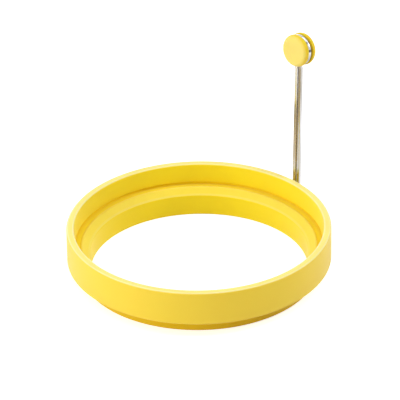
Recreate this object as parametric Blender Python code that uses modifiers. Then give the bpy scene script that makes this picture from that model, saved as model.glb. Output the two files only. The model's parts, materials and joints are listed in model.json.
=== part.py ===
"""Silicone egg ring with a folding wire handle and a round knob.

The ring's axis is Z and its foot stands on Z = 0. The handle's hinge is on the
outer wall, on the diagonal between +X and +Y. All lengths are in metres.
"""

import math

import bmesh
import bpy
from mathutils import Matrix, Vector

# Ring, from its outer wall inwards and from its foot upwards
RIM_RADIUS = 0.0500
RIM_WIDTH = 0.00295
WALL_DRAFT = 0.00025
GROOVE_WIDTH = 0.00250
LEDGE_WIDTH = 0.00320
FOOT_HEIGHT = 0.00555
WEB_HEIGHT = 0.00465
GROOVE_DEPTH = 0.0007
LEDGE_DROP = 0.00265
RIM_ROUND = 0.0007
BAND_ROUND = 0.0005
FOOT_ROUND = 0.0004
LIP_ROUND = 0.0005
LEDGE_ROUND = 0.0008
GROOVE_ROUND = 0.0004

# Room round and under the foot of another ring that is stacked in the recess
NEST_CLEARANCE = 0.00185
NEST_HEADROOM = 0.00245

# Hinge lug on the ring's outer wall
HANDLE_AZIMUTH = math.radians(45)
WALL_CLEARANCE = 0.00253
EAR_WALL = 0.00183
EAR_SKIN = 0.0010
LUG_RISE = 0.0007
LUG_ROUND = 0.0004
SLOT_PAD = 0.0003
FLOOR_PAD = 0.00015

# Wire handle
WIRE_RADIUS = 0.00087
LEG_GAP = 0.00015
HANDLE_LENGTH = 0.0633
HANDLE_LEAN = math.radians(1.6)
LOOP_TILT = math.radians(5.5)
TILT_SPAN = 0.0030
TOE_LENGTH = 0.0032
TOE_INNER_BEND = 0.0008
NECK_INNER_BEND = 0.0012
LOOP_RADIUS = 0.0051

# Knob
KNOB_OVERHANG = 0.00028
CAP_THICKNESS = 0.00225
CAP_DISH = 0.00030
CAP_FACE_ROUND = 0.0011
CAP_EDGE_ROUND = 0.0004
HUB_WALL = 0.0017
HUB_ROUND = 0.0003
STUB_ROUND = 0.0003
SOCKET_SKIN = 0.0011

# Clearance between pieces, and how far a cutter overruns
FIT_GAP = 0.0003
OVERRUN = 0.0010

# Shares of what they follow: the dish's reach over a cap's face, the root of the lug in
# the rim, and the part of an edge that a round may take beside another round or alone
DISH_SHARE = 0.7
ROOT_SHARE = 0.5
PAIRED_ROUND_SHARE = 0.5
LONE_ROUND_SHARE = 0.9

# Counts
RING_STEPS = 88
CAP_STEPS = 48
ARC_STEPS = 3
BEND_STEPS = 6
LOOP_STEPS = 44
BORE_SIDES = 32
NOSE_STEPS = 16
DISH_STEPS = 5
TILT_STEPS = 4

# Radii and heights of the ring
WALL_TOP_RADIUS = RIM_RADIUS - RIM_WIDTH
WALL_FOOT_RADIUS = WALL_TOP_RADIUS - WALL_DRAFT
LEDGE_RADIUS = WALL_FOOT_RADIUS - GROOVE_WIDTH
OPENING_RADIUS = LEDGE_RADIUS - LEDGE_WIDTH
FOOT_RADIUS = WALL_FOOT_RADIUS - NEST_CLEARANCE
GROOVE_HEIGHT = FOOT_HEIGHT + WEB_HEIGHT
LEDGE_HEIGHT = GROOVE_HEIGHT + GROOVE_DEPTH
LIP_HEIGHT = LEDGE_HEIGHT - LEDGE_DROP
RING_HEIGHT = LEDGE_HEIGHT + NEST_HEADROOM + FOOT_HEIGHT

# Hinge: the wire's toes along its axis, and the lug round them
BORE_RADIUS = WIRE_RADIUS + FIT_GAP
LUG_RADIUS = BORE_RADIUS + EAR_WALL
PIVOT_OFFSET = WIRE_RADIUS + WALL_CLEARANCE
PIVOT_RADIUS = RIM_RADIUS + PIVOT_OFFSET
PIVOT_HEIGHT = FOOT_HEIGHT + LUG_RISE + LUG_RADIUS
TOE_BEND = WIRE_RADIUS + TOE_INNER_BEND
NECK_BEND = WIRE_RADIUS + NECK_INNER_BEND
LEG_OFFSET = WIRE_RADIUS + LEG_GAP / 2
NECK_DROP = math.sqrt((LOOP_RADIUS + NECK_BEND) ** 2 - (LEG_OFFSET + NECK_BEND) ** 2)
LEG_TOP = HANDLE_LENGTH - NECK_DROP
TILT_START = LEG_TOP - TILT_SPAN / 2
TOE_START = LEG_OFFSET + TOE_BEND
TOE_END = TOE_START + TOE_LENGTH
SLOT_HALF_WIDTH = TOE_START + FIT_GAP
BORE_END = TOE_END + FIT_GAP
LUG_HALF_WIDTH = BORE_END + EAR_SKIN

# Knob: distances along its axis are measured from the plane of the wire loop
KNOB_RADIUS = LOOP_RADIUS + WIRE_RADIUS + KNOB_OVERHANG
CAP_INNER = WIRE_RADIUS + FIT_GAP
CAP_OUTER = CAP_INNER + CAP_THICKNESS
HUB_RADIUS = LOOP_RADIUS - WIRE_RADIUS - FIT_GAP
HUB_END = CAP_INNER - FIT_GAP
SOCKET_RADIUS = HUB_RADIUS - HUB_WALL
SOCKET_DEPTH = CAP_OUTER - SOCKET_SKIN
STUB_RADIUS = SOCKET_RADIUS - FIT_GAP
STUB_END = SOCKET_DEPTH - FIT_GAP

MERGE = 0.00001
FLAT_ANGLE = math.radians(0.5)
BEVEL_ANGLE = math.radians(60)
SHARP_ANGLE = math.radians(35)


def clear_scene():
    """Remove every object, so that the script can be run again."""
    for obj in list(bpy.data.objects):
        bpy.data.objects.remove(obj, do_unlink=True)


def make_collection(name):
    """Find or add a collection, and link it to the scene."""
    collection = bpy.data.collections.get(name) or bpy.data.collections.new(name)
    linked = bpy.context.scene.collection.children
    if name not in linked:
        linked.link(collection)
    return collection


def make_material(name, color, roughness, metallic=0.0):
    """Return a plain Principled material."""
    material = bpy.data.materials.new(name)
    material.use_nodes = True
    shader = material.node_tree.nodes["Principled BSDF"]
    shader.inputs["Base Color"].default_value = (*color, 1.0)
    shader.inputs["Roughness"].default_value = roughness
    shader.inputs["Metallic"].default_value = metallic
    return material


def rounded_outline(corners):
    """Round the corners of a closed outline.

    corners is a list of (x, y, radius). A radius of zero keeps a sharp corner, and
    a radius too large for its edges is limited by them.
    """
    points = []
    for index, (x, y, radius) in enumerate(corners):
        here = Vector((x, y))
        if radius == 0:
            points.append(here)
            continue
        neighbours = (corners[index - 1], corners[(index + 1) % len(corners)])
        ways = [Vector(corner[:2]) - here for corner in neighbours]
        shares = [PAIRED_ROUND_SHARE if corner[2] else LONE_ROUND_SHARE for corner in neighbours]
        room = min(way.length * share for way, share in zip(ways, shares))
        before, after = [way.normalized() for way in ways]
        half_angle = before.angle(after) / 2
        reach = min(radius / math.tan(half_angle), room)
        centre = here + (before + after).normalized() * reach / math.cos(half_angle)
        start = here + before * reach - centre
        finish = here + after * reach - centre
        sweep = start.angle_signed(finish)
        for step in range(ARC_STEPS + 1):
            turn = Matrix.Rotation(-sweep * step / ARC_STEPS, 2)
            points.append(centre + turn @ start)
    return points


def arc_points(centre, radius, start, finish, steps):
    """Points on an arc in a plane, both ends included. Angles in radians."""
    angles = [start + (finish - start) * step / steps for step in range(steps + 1)]
    return [
        Vector((centre[0] + radius * math.cos(angle), centre[1] + radius * math.sin(angle)))
        for angle in angles
    ]


def new_object(name, mesh, collection):
    """Link a new object for a mesh."""
    obj = bpy.data.objects.new(name, mesh)
    collection.objects.link(obj)
    return obj


def turned(name, outline, steps, collection, closed):
    """Turn an outline of (radius, height) points about Z with a Screw modifier.

    An open outline starts and ends on the axis.
    """
    mesh = bpy.data.meshes.new(name)
    edges = [(index, index + 1) for index in range(len(outline) - 1)]
    if closed:
        edges.append((len(outline) - 1, 0))
    mesh.from_pydata([(point[0], 0, point[1]) for point in outline], edges, [])
    obj = new_object(name, mesh, collection)
    screw = obj.modifiers.new("Turn", "SCREW")
    screw.axis = "Z"
    screw.angle = math.tau
    screw.steps = steps
    screw.render_steps = steps
    screw.use_merge_vertices = True
    screw.merge_threshold = MERGE
    screw.use_smooth_shade = True
    return obj


def freeze(obj, collection):
    """Replace an object by a plain mesh of what its modifiers and curve make."""
    bpy.context.view_layer.update()
    depsgraph = bpy.context.evaluated_depsgraph_get()
    mesh = bpy.data.meshes.new_from_object(obj.evaluated_get(depsgraph))
    shape = bmesh.new()
    shape.from_mesh(mesh)
    bmesh.ops.remove_doubles(shape, verts=shape.verts, dist=MERGE)
    bmesh.ops.dissolve_limit(shape, angle_limit=FLAT_ANGLE, verts=shape.verts, edges=shape.edges)
    bmesh.ops.recalc_face_normals(shape, faces=shape.faces)
    shape.to_mesh(mesh)
    shape.free()
    name = obj.name
    place = obj.matrix_world.copy()
    bpy.data.objects.remove(obj, do_unlink=True)
    result = new_object(name, mesh, collection)
    result.name = name
    result.matrix_world = place
    return result


def take_primitive(name, collection):
    """Name the primitive just added and move it to a collection of its own."""
    obj = bpy.context.object
    obj.name = name
    for other in list(obj.users_collection):
        other.objects.unlink(obj)
    collection.objects.link(obj)
    return obj


def flat_plate(name, outline, thickness, collection):
    """Extrude a flat outline from a 2D curve, centred on its own plane."""
    curve = bpy.data.curves.new(name, "CURVE")
    curve.dimensions = "2D"
    curve.fill_mode = "BOTH"
    curve.extrude = thickness / 2
    spline = curve.splines.new("POLY")
    spline.points.add(len(outline) - 1)
    for point, place in zip(spline.points, outline):
        point.co = (place[0], place[1], 0, 1)
    spline.use_cyclic_u = True
    obj = bpy.data.objects.new(name, curve)
    collection.objects.link(obj)
    return obj


def boolean(obj, cutter, operation):
    """Add an exact Boolean and hide its other object."""
    modifier = obj.modifiers.new(operation.title(), "BOOLEAN")
    modifier.operation = operation
    modifier.solver = "EXACT"
    modifier.object = cutter
    cutter.hide_render = True
    cutter.display_type = "WIRE"


def smooth(obj, material):
    """Shade the round faces smooth, keep the corners sharp, and set the material."""
    obj.data.shade_smooth()
    obj.data.set_sharp_from_angle(angle=SHARP_ANGLE)
    obj.data.materials.clear()
    obj.data.materials.append(material)


def hinge_frame():
    """Matrix of the hinge: X along its pin, Y outwards, Z up, origin on its axis."""
    outward = Vector((math.cos(HANDLE_AZIMUTH), math.sin(HANDLE_AZIMUTH), 0))
    centre = outward * PIVOT_RADIUS + Vector((0, 0, PIVOT_HEIGHT))
    turn = Matrix.Rotation(HANDLE_AZIMUTH - math.pi / 2, 4, "Z")
    return Matrix.Translation(centre) @ turn


def ring_outline():
    """Outline of the ring's wall, down the outside and up the inside."""
    return rounded_outline([
        (RIM_RADIUS, RING_HEIGHT, RIM_ROUND),
        (RIM_RADIUS, FOOT_HEIGHT, BAND_ROUND),
        (FOOT_RADIUS, FOOT_HEIGHT, FOOT_ROUND),
        (FOOT_RADIUS, 0, FOOT_ROUND),
        (OPENING_RADIUS, 0, FOOT_ROUND),
        (OPENING_RADIUS, LIP_HEIGHT, LIP_ROUND),
        (LEDGE_RADIUS, LEDGE_HEIGHT, LEDGE_ROUND),
        (LEDGE_RADIUS + GROOVE_DEPTH, GROOVE_HEIGHT, GROOVE_ROUND),
        (WALL_FOOT_RADIUS, GROOVE_HEIGHT, GROOVE_ROUND),
        (WALL_TOP_RADIUS, RING_HEIGHT, RIM_ROUND),
    ])


def make_lug(cutters):
    """Cutters for the hinge lug: its block, and the slot and bore that shape its ears."""
    frame = hinge_frame()
    # The block's side view has the outward direction as x and up as y.
    root = -PIVOT_OFFSET - RIM_WIDTH * ROOT_SHARE
    nose = arc_points((0, 0), LUG_RADIUS, -math.pi / 2, math.pi / 2, NOSE_STEPS)
    side = [Vector((root, -LUG_RADIUS))] + nose + [Vector((root, LUG_RADIUS))]
    upright = Matrix(((0, 0, 1, 0), (1, 0, 0, 0), (0, 1, 0, 0), (0, 0, 0, 1)))
    block = flat_plate("lug_block", side, 2 * LUG_HALF_WIDTH, cutters)
    block.matrix_world = frame @ upright
    block = freeze(block, cutters)
    soften = block.modifiers.new("Soften", "BEVEL")
    soften.width = LUG_ROUND
    soften.segments = 2
    soften.limit_method = "ANGLE"
    soften.angle_limit = BEVEL_ANGLE

    # The slot is open at the top and outside, and its floor, just under the bore, stops
    # the folded legs.
    floor = -BORE_RADIUS - FLOOR_PAD
    top = LUG_RADIUS + OVERRUN
    back = SLOT_PAD - PIVOT_OFFSET
    front = LUG_RADIUS + OVERRUN
    bpy.ops.mesh.primitive_cube_add(size=1)
    slot = take_primitive("lug_slot", cutters)
    slot.data.transform(Matrix.Diagonal((2 * SLOT_HALF_WIDTH, front - back, top - floor, 1)))
    slot.data.transform(Matrix.Translation((0, (front + back) / 2, (top + floor) / 2)))
    slot.matrix_world = frame

    bpy.ops.mesh.primitive_cylinder_add(vertices=BORE_SIDES, radius=BORE_RADIUS, depth=2 * BORE_END)
    bore = take_primitive("lug_bore", cutters)
    bore.data.transform(Matrix.Rotation(math.pi / 2, 4, "Y"))
    bore.matrix_world = frame
    return block, slot, bore


def make_ring(parts, cutters, material):
    """The silicone ring with its hinge lug in one piece."""
    ring = turned("silicone_ring", ring_outline(), RING_STEPS, parts, closed=True)
    block, slot, bore = make_lug(cutters)
    boolean(ring, block, "UNION")
    boolean(ring, slot, "DIFFERENCE")
    boolean(ring, bore, "DIFFERENCE")
    ring = freeze(ring, parts)
    smooth(ring, material)


def wire_path():
    """Centre line of the wire in its own flat plane: along the pin, and up the legs.

    The left half runs from the toe to the top of the loop, and the right half
    mirrors it back down.
    """
    lean_in = math.atan2(NECK_DROP, LEG_OFFSET + NECK_BEND)
    toe = [Vector((-TOE_END, 0))]
    toe += arc_points((-TOE_START, TOE_BEND), TOE_BEND, -math.pi / 2, 0, BEND_STEPS)
    rise = (LEG_TOP - TILT_START) / TILT_STEPS
    leg = [Vector((-LEG_OFFSET, TILT_START + rise * step)) for step in range(TILT_STEPS)]
    neck_centre = (-LEG_OFFSET - NECK_BEND, LEG_TOP)
    neck_arc = arc_points(neck_centre, NECK_BEND, 0, lean_in, BEND_STEPS)
    loop_start = -math.pi + lean_in
    loop = arc_points((0, HANDLE_LENGTH), LOOP_RADIUS, loop_start, -math.pi * 3 / 2, LOOP_STEPS // 2)
    left = toe + leg + neck_arc + loop[1:]
    right = [Vector((-point[0], point[1])) for point in reversed(left[:-1])]
    return left + right


def set_back(across, up):
    """Place of a point of the flat wire once its loop is tilted back about its middle."""
    share = min(max((up - TILT_START) / TILT_SPAN, 0), 1)
    tilt = LOOP_TILT * share * share * (3 - 2 * share)
    rise = up - HANDLE_LENGTH
    return (across, rise * math.sin(tilt), HANDLE_LENGTH + rise * math.cos(tilt))


def make_handle_wire(parts, pivot, material):
    """The handle: one wire whose turned-out toes are the hinge's pin."""
    path = wire_path()
    curve = bpy.data.curves.new("handle_wire", "CURVE")
    curve.dimensions = "3D"
    curve.bevel_depth = WIRE_RADIUS
    curve.bevel_resolution = 4
    curve.use_fill_caps = True
    spline = curve.splines.new("POLY")
    spline.points.add(len(path) - 1)
    for point, place in zip(spline.points, path):
        point.co = (*set_back(place[0], place[1]), 1)
    spline.use_smooth = True
    wire = bpy.data.objects.new("handle_wire", curve)
    parts.objects.link(wire)
    wire.parent = pivot
    wire.data.materials.append(material)


def cap_outline(inside):
    """Outline of a cap: out over its dished face, round its edge, and in along its inside."""
    shares = [DISH_SHARE * step / (DISH_STEPS - 1) for step in range(DISH_STEPS)]
    dish = [
        (KNOB_RADIUS * share, CAP_OUTER - CAP_DISH * (1 - (share / DISH_SHARE) ** 2), 0)
        for share in shares
    ]
    edge = [
        (KNOB_RADIUS, CAP_OUTER, CAP_FACE_ROUND),
        (KNOB_RADIUS, CAP_INNER, CAP_EDGE_ROUND),
    ]
    return rounded_outline(dish + edge + inside)


def make_cap(name, inside, turn, parts, pivot, material):
    """Turn a cap and set it on the tilted loop's axis, facing forwards or back."""
    cap = freeze(turned(name, cap_outline(inside), CAP_STEPS, parts, closed=False), parts)
    smooth(cap, material)
    cap.parent = pivot
    cap.location = (0, 0, HANDLE_LENGTH)
    cap.rotation_euler = (turn - LOOP_TILT, 0, 0)


def make_knob(parts, pivot, material):
    """The knob: two caps on the wire loop, held together by a stub in a socket."""
    stub = [
        (STUB_RADIUS, CAP_INNER, 0),
        (STUB_RADIUS, -STUB_END, STUB_ROUND),
        (0, -STUB_END, 0),
    ]
    hub_and_socket = [
        (HUB_RADIUS, CAP_INNER, 0),
        (HUB_RADIUS, -HUB_END, HUB_ROUND),
        (SOCKET_RADIUS, -HUB_END, 0),
        (SOCKET_RADIUS, SOCKET_DEPTH, 0),
        (0, SOCKET_DEPTH, 0),
    ]
    make_cap("knob_front_cap", stub, math.pi / 2, parts, pivot, material)
    make_cap("knob_rear_cap", hub_and_socket, -math.pi / 2, parts, pivot, material)


def make_pivot(parts):
    """Empty on the hinge's axis that carries all that folds."""
    pivot = bpy.data.objects.new("handle_pivot", None)
    parts.objects.link(pivot)
    lean = Matrix.Rotation(-HANDLE_LEAN, 4, "X")
    pivot.matrix_world = hinge_frame() @ lean
    return pivot


def main():
    """Build the egg ring."""
    clear_scene()
    parts = make_collection("egg_ring")
    cutters = make_collection("cutters")
    ring_yellow = make_material("ring_silicone", (0.90, 0.62, 0.02), 0.45)
    knob_yellow = make_material("knob_silicone", (0.90, 0.65, 0.06), 0.40)
    steel = make_material("bright_steel", (0.72, 0.70, 0.66), 0.15, metallic=1.0)
    make_ring(parts, cutters, ring_yellow)
    pivot = make_pivot(parts)
    make_handle_wire(parts, pivot, steel)
    make_knob(parts, pivot, knob_yellow)
    bpy.context.view_layer.update()


main()
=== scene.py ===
"""Egg ring: satin silicone ring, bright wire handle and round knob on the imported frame.

Laid out as an add-on and run as a script. Lengths are in metres, in the frame of the
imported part: the ring's axis is Z, its foot stands on Z = 0 and -Y is the front.
"""

import json
import math
from types import SimpleNamespace

import bmesh
import bpy
import numpy as np
from bpy.props import FloatProperty, FloatVectorProperty, IntProperty, PointerProperty
from bpy.types import Operator, Panel, PropertyGroup
from mathutils import Matrix, Vector


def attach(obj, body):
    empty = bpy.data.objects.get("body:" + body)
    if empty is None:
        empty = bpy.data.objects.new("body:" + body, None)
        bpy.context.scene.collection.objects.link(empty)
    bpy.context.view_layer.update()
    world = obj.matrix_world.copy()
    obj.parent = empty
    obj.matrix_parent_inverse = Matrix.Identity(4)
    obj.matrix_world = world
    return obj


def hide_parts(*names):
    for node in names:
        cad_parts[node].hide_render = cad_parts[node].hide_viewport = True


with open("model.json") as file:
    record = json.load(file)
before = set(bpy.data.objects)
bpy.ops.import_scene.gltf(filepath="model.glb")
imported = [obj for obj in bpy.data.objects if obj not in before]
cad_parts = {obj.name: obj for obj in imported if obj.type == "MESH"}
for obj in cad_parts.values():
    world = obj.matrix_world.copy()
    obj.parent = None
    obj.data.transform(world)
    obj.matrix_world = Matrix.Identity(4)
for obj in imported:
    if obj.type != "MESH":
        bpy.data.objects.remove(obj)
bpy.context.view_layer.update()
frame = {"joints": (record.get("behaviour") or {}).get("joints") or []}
HINGE = Vector(frame["joints"][0]["pos_m"])
HINGE_RADIUS = math.hypot(HINGE.x, HINGE.y)

bl_info = {
    "name": "Egg Ring",
    "version": (1, 0, 0),
    "blender": (4, 5, 0),
    "location": "View3D > Sidebar > Egg Ring",
    "description": "Builds a silicone egg ring with a folding wire handle and its studio",
    "category": "Add Mesh",
}

WELD = 0.000002
SILICONE_CREASE = math.radians(14)
WIRE_CREASE = math.radians(35)


# Sizes and colours a user would change

def length(name, description, value):
    """A size in metres."""
    return FloatProperty(
        name=name, description=description, default=value, min=0, precision=5, unit="LENGTH",
        subtype="DISTANCE",
    )


def number(name, description, value, low=0.0, high=1000.0):
    """A plain number, such as a strength."""
    return FloatProperty(name=name, description=description, default=value, min=low, max=high)


def count(name, description, value):
    """How many steps a curve or a turn is made of."""
    return IntProperty(name=name, description=description, default=value, min=3)


def colour(name, description, value):
    """A linear colour."""
    return FloatVectorProperty(
        name=name, description=description, default=value, size=3, min=0, max=1, subtype="COLOR",
    )


def angle(name, description, degrees):
    """An angle, given here in degrees."""
    return FloatProperty(
        name=name, description=description, default=math.radians(degrees), subtype="ANGLE",
        unit="ROTATION",
    )


class RingSizes(PropertyGroup):
    """Outline of the moulded ring."""

    rim_radius: length("Rim radius", "Outer radius of the ring", 0.050)
    rim_width: length("Rim width", "Width of the flat rim", 0.00295)
    wall_draft: length("Wall draft", "Lean of the wall above the groove", 0.00025)
    groove_width: length("Groove width", "Wall to the ledge", 0.0025)
    ledge_width: length("Ledge width", "Sloping ledge inside the groove", 0.0032)
    undercut_depth: length("Undercut depth", "Reach of the groove behind the wall", 0.0009)
    undercut_height: length("Undercut height", "Height of the groove behind the wall", 0.00124)
    foot_height: length("Foot height", "Height of the foot under the band", 0.00555)
    web_height: length("Web height", "Band's lower edge to the groove's floor", 0.00465)
    groove_depth: length("Groove depth", "Depth of the groove beside the ledge", 0.0007)
    ledge_drop: length("Ledge drop", "Fall of the ledge inwards", 0.00265)
    nest_clearance: length("Nest clearance", "Room round a stacked ring's foot", 0.00185)
    nest_headroom: length("Nest headroom", "Room under a stacked ring's foot", 0.00245)
    rim_round: length("Rim round", "Round of the rim's two edges", 0.0007)
    band_round: length("Band round", "Round of the band's lower edge", 0.0005)
    foot_round: length("Foot round", "Round of the foot's edges", 0.0004)
    lip_round: length("Lip round", "Round at the top of the opening", 0.0005)
    ledge_round: length("Ledge round", "Round at the top of the ledge", 0.0008)
    groove_round: length("Groove round", "Round in the groove's corners", 0.0004)
    undercut_round: length("Undercut round", "Round of the wall's lower edge", 0.00015)
    turn_steps: count("Turn steps", "Faces round the ring", 384)
    round_steps: count("Round steps", "Points on each rounded edge", 8)


class LugSizes(PropertyGroup):
    """Hinge lug on the ring's outer wall."""

    nose_radius: length("Nose radius", "Round nose of the two ears", 0.0030)
    half_width: length("Half width", "Middle to the outside of an ear", 0.007115)
    slot_half_width: length("Slot half width", "Middle to the inside of an ear", 0.00283)
    slot_floor: length("Slot floor", "Pin's axis to the slot's floor", 0.00132)
    slot_pad: length("Slot pad", "Pad on the wall behind the slot", 0.0003)
    bore_radius: length("Bore radius", "Blind bore that grips the wire's toe", 0.00096)
    bore_end: length("Bore end", "Middle to the end of a bore", 0.00592)
    edge_round: length("Edge round", "Round of the lug's edges", 0.00045)
    root_fillet: length("Root fillet", "Fillet where the lug meets the wall", 0.0006)
    grain: length("Grain", "Cell of the lug's mesh", 0.00015)


class HandleSizes(PropertyGroup):
    """Bent wire handle."""

    wire_radius: length("Wire radius", "Half the wire's thickness", 0.00087)
    leg_gap: length("Leg gap", "Gap between the two legs", 0.00015)
    height: length("Height", "Pin to the middle of the loop", 0.0633)
    lean: angle("Lean", "Lean of the handle outwards", 1.6)
    tilt: angle("Loop tilt", "Tilt of the loop back from the legs", 5.5)
    tilt_span: length("Tilt span", "Length of leg over which it tilts", 0.0030)
    toe_length: length("Toe length", "Straight part of each toe", 0.0032)
    toe_bend: length("Toe bend", "Centre-line radius of the bend at a toe", 0.00167)
    neck_bend: length("Neck bend", "Centre-line radius of the bend below the loop", 0.00207)
    loop_radius: length("Loop radius", "Centre-line radius of the loop", 0.0051)
    bend_steps: count("Bend steps", "Points on each bend", 14)
    loop_steps: count("Loop steps", "Points on half of the loop", 48)
    wire_sides: count("Wire sides", "Faces round the wire", 32)


class KnobSizes(PropertyGroup):
    """Two turned caps, one on each side of the wire loop."""

    radius: length("Radius", "Outer radius of the caps", 0.00624)
    inner: length("Inner face", "Loop's plane to the inner face", 0.00112)
    outer: length("Outer face", "Loop's plane to the outer face", 0.00342)
    dish: length("Dish", "Depth of the dish in the outer face", 0.0003)
    dish_radius: length("Dish radius", "Middle of the dish", 0.0012)
    face_round: length("Face round", "Round at the outer face's edge", 0.0016)
    edge_round: length("Edge round", "Round at the inner face's edge", 0.0004)
    hub_radius: length("Hub radius", "Hub inside the wire loop", 0.00395)
    hub_end: length("Hub end", "Reach of the hub past the loop's plane", 0.0008)
    socket_radius: length("Socket radius", "Socket in the hub", 0.0023)
    socket_depth: length("Socket depth", "Loop's plane to the socket's floor", 0.00231)
    stub_radius: length("Stub radius", "Stub that sits in the socket", 0.0020)
    stub_end: length("Stub end", "Reach of the stub past the loop's plane", 0.0020)
    small_round: length("Small round", "Round of the hub's and stub's ends", 0.0003)
    turn_steps: count("Turn steps", "Faces round a cap", 144)
    round_steps: count("Round steps", "Points on each rounded edge", 10)


class Finishes(PropertyGroup):
    """Colours and surface of the materials."""

    # Painted light and shade: the ring's colour is painted lighter, for the light on the inner
    # walls, and the band's darker, as lit and shaded copies of one silicone
    ring_colour: colour("Ring colour", "Silicone of the ring", (0.98, 0.745, 0.001))
    band_shaded_colour: colour("Band colour", "Silicone of the outer band", (0.92, 0.63, 0.001))
    # Painted shade: the foot's colour is darker, standing in for the shade under the band's
    # overhang
    foot_shade_colour: colour("Foot colour", "Deeper tone of the foot", (0.84, 0.54, 0.001))
    knob_colour: colour("Knob colour", "Silicone of the knob", (0.87, 0.605, 0.008))
    # Painted shade: the groove's colour is darker, standing in for the shade in the recess
    groove_shade_colour: colour("Groove colour", "Deeper tone left in the groove", (0.96, 0.70, 0.001))
    # Painted sheen and highlight: this pale colour and its shares on the ring, the band and the
    # knob stand in for the lamps' soft sheen and highlights
    bloom_colour: colour("Bloom colour", "Pale bloom on faces that are touched", (0.97, 0.88, 0.42))
    ring_bloom: number("Ring bloom", "Bloom on the rim's edges", 0.95, 0, 1)
    band_bloom: number("Band bloom", "Bloom on the outer band", 0.10, 0, 1)
    knob_bloom: number("Knob bloom", "Bloom on the knob's faces", 0.38, 0, 1)
    steel_colour: colour("Steel colour", "Bright drawn wire", (0.51, 0.50, 0.485))
    # Painted shade and dark reflection: darker colour where the legs face each other, and all round
    # the left leg at mid-height
    leg_shade_colour: colour("Tint colour", "Dull tint where the wire faces itself", (0.44, 0.38, 0.30))
    # Painted dark reflection: the darker tone below the loop and in the loop's painted dark spots
    neck_shade_colour: colour("Neck colour", "Dull tint below the loop", (0.27, 0.245, 0.215))
    # Painted highlight: pale colour on the side away from the other leg, at the loop's top and
    # towards the toes
    painted_highlight_colour: colour("Burnished colour", "Bright side of the wire", (0.68, 0.69, 0.72))
    silicone_roughness: number("Silicone roughness", "Satin of the silicone", 0.50, 0, 1)
    silicone_sheen: number("Silicone sheen", "Weight of the soft sheen", 0.25, 0, 1)
    sheen_roughness: number("Sheen roughness", "Spread of the soft sheen", 0.53, 0, 1)
    steel_roughness: number("Steel roughness", "Polish of the wire", 0.13, 0, 1)


class StudioLook(PropertyGroup):
    """Camera, floor and lamps."""

    floor_colour: colour("Floor colour", "Pale studio floor", (0.82, 0.82, 0.81))
    floor_radius: length("Floor radius", "Radius of the floor", 6.0)
    camera_elevation: angle("Camera elevation", "How far the camera looks down", 29.776)
    camera_roll: angle("Camera roll", "Tilt of the camera about its line of sight", 0.848)
    camera_distance: length("Camera distance", "Camera to the ring's plane", 1.5466)
    focal_pixels: number("Focal length", "Focal length in pixels of the photograph", 4079, 1, 9999)
    ambient: number("Ambient", "Soft light from all round", 0.31)
    lamp_distance: length("Lamp distance", "Object to the softboxes", 1.2)
    softbox_side: length("Softbox side", "Side of each square softbox", 0.70)
    key_power: number("Key power", "Power of the low left softbox", 7.4)
    left_power: number("Left power", "Power of the high left softbox", 4.0)
    right_power: number("Right power", "Power of the high right softbox", 6.9)
    back_power: number("Back power", "Power of the low softbox behind", 3.3)
    top_power: number("Top power", "Power of the overhead softbox", 2.3)


class EggRingSettings(PropertyGroup):
    """All settings of the egg ring."""

    ring: PointerProperty(type=RingSizes)
    lug: PointerProperty(type=LugSizes)
    handle: PointerProperty(type=HandleSizes)
    knob: PointerProperty(type=KnobSizes)
    finish: PointerProperty(type=Finishes)
    studio: PointerProperty(type=StudioLook)


# Node trees

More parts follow.
